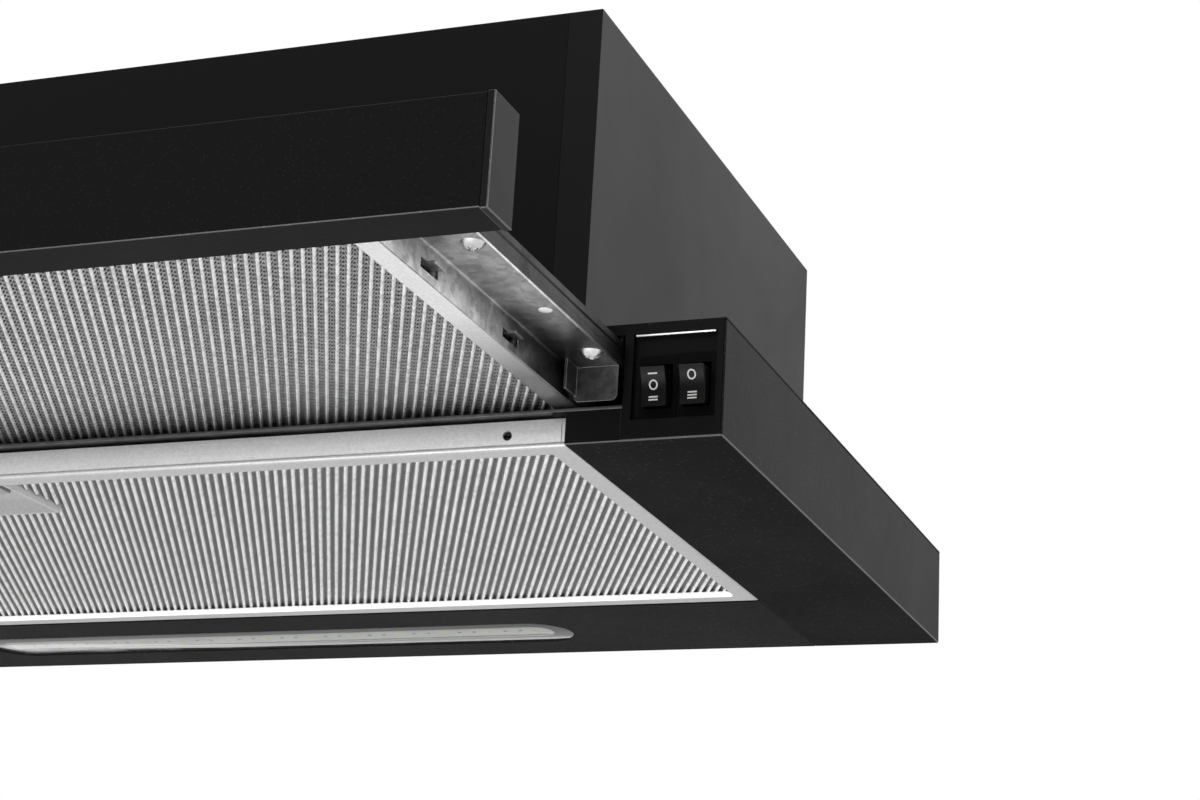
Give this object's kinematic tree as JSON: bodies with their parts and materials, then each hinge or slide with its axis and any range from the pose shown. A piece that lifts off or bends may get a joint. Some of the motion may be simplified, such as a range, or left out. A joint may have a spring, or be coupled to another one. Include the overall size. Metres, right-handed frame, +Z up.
{
  "type": "pull-out range hood",
  "caption": "Slim black sheet-steel cooker hood with a visor that pulls out on ball slides, metal grease filters, a lamp under its rear edge, rocker switches and a top duct collar.",
  "frame": {"origin": "under the middle of the hood with its visor pulled out, on its lowest plane", "axes": "+X to the right seen from the front, +Y to the rear, +Z up"},
  "size_m": [0.6, 0.49, 0.203],
  "materials": {
    "black_paint": "fine-textured black powder coat",
    "black_plastic": "fine-grained moulded black plastic",
    "cap_plastic": "semi-gloss dark grey moulding",
    "dark_plastic": "dark grey moulding",
    "galvanised": "galvanised sheet, faint spangle",
    "aluminium_mesh": "bright expanded aluminium mesh",
    "aluminium_frame": "rolled mill-finish aluminium strip",
    "screw_zinc": "zinc plated",
    "ball_steel": "polished bearing steel",
    "lens": "frosted grey lens",
    "board": "white board and mouldings",
    "led": "yellow phosphor",
    "loom": "black sleeve",
    "motor_steel": "plated motor shell"
  },
  "bodies": {
    "hood_body": {"right_side_panel": "black_paint", "left_side_panel": "black_paint", "top_plate": "black_paint", "lamp_panel": "black_paint", "lamp_lens": "lens", "led_board": "board", "leds": "led", "led_driver": "board", "right_inner_wall": "galvanised", "left_inner_wall": "galvanised", "switch_panel": "black_plastic", "blank_panel": "black_plastic", "fan_switch_body": "black_plastic", "light_switch_body": "black_plastic", "front_cross_bar": "galvanised", "fixed_filter_frame": "aluminium_frame", "fixed_filter_mesh": "aluminium_mesh", "right_slide_rail": "galvanised", "left_slide_rail": "galvanised", "right_slide_hanger": "galvanised", "left_slide_hanger": "galvanised", "housing_wrap": "black_paint", "housing_front": "black_paint", "housing_top": "black_paint", "duct_collar": "black_plastic", "scroll_left": "dark_plastic", "scroll_right": "dark_plastic", "motor": "motor_steel", "motor_bracket": "galvanised", "capacitor": "board", "terminal_box": "black_plastic", "wiring_loom": "loom", "cable_gland": "black_plastic", "housing_screws": "screw_zinc", "duct_screws": "screw_zinc", "blower_screws": "screw_zinc"},
    "visor": {"visor_fascia": "black_paint", "right_end_cap": "cap_plastic", "left_end_cap": "cap_plastic", "visor_cross_rail": "galvanised", "right_visor_bracket": "galvanised", "left_visor_bracket": "galvanised", "bracket_screws": "screw_zinc", "visor_filter_frame": "aluminium_frame", "visor_filter_mesh": "aluminium_mesh", "right_slide_channel": "galvanised", "left_slide_channel": "galvanised"},
    "right_cage": {"right_ball_cage": "galvanised", "right_slide_balls": "ball_steel"},
    "left_cage": {"left_ball_cage": "galvanised", "left_slide_balls": "ball_steel"},
    "impeller_rotor": {"impeller": "dark_plastic", "motor_shaft": "motor_steel"},
    "fan_key": {"fan_rocker": "black_plastic"},
    "light_key": {"light_rocker": "black_plastic"},
    "front_damper": {"front_flap": "dark_plastic"},
    "rear_damper": {"rear_flap": "dark_plastic"},
    "fixed_latch": {"fixed_filter_latch": "galvanised"},
    "visor_latch": {"visor_filter_latch": "galvanised"}
  },
  "joints": [
    {"name": "visor_slide", "type": "slide", "parent": "hood_body", "child": "visor", "axis": [0, 1, 0], "range_m": [0, 0.1735]},
    {"name": "right_cage_slide", "type": "slide", "parent": "hood_body", "child": "right_cage", "axis": [0, 1, 0], "range_m": [0, 0.08675]},
    {"name": "left_cage_slide", "type": "slide", "parent": "hood_body", "child": "left_cage", "axis": [0, 1, 0], "range_m": [0, 0.08675]},
    {"name": "impeller_spin", "type": "hinge", "parent": "hood_body", "child": "impeller_rotor", "pos_m": [0, 0.09, 0.1114], "axis": [1, 0, 0], "continuous": true},
    {"name": "fan_rocker_tip", "type": "hinge", "parent": "hood_body", "child": "fan_key", "pos_m": [0.2773, -0.0515, 0.0181], "axis": [1, 0, 0], "range_deg": [-24, 0]},
    {"name": "light_rocker_tip", "type": "hinge", "parent": "hood_body", "child": "light_key", "pos_m": [0.2904, -0.0515, 0.0181], "axis": [1, 0, 0], "range_deg": [-24, 0]},
    {"name": "front_flap_swing", "type": "hinge", "parent": "hood_body", "child": "front_damper", "pos_m": [0, 0.13575, 0.18], "axis": [-1, 0, 0], "range_deg": [0, 80]},
    {"name": "rear_flap_swing", "type": "hinge", "parent": "hood_body", "child": "rear_damper", "pos_m": [0, 0.14275, 0.18], "axis": [1, 0, 0], "range_deg": [0, 80]},
    {"name": "fixed_latch_slide", "type": "slide", "parent": "hood_body", "child": "fixed_latch", "axis": [0, 1, 0], "range_m": [0, 0.003], "stiffness_N_per_m": 300, "springref_m": -0.003},
    {"name": "visor_latch_slide", "type": "slide", "parent": "visor", "child": "visor_latch", "axis": [0, 1, 0], "range_m": [0, 0.003], "stiffness_N_per_m": 300, "springref_m": -0.003}
  ],
  "couplings": [
    {"joint": "right_cage_slide", "follows": "visor_slide", "ratio": 0.5},
    {"joint": "left_cage_slide", "follows": "visor_slide", "ratio": 0.5}
  ]
}
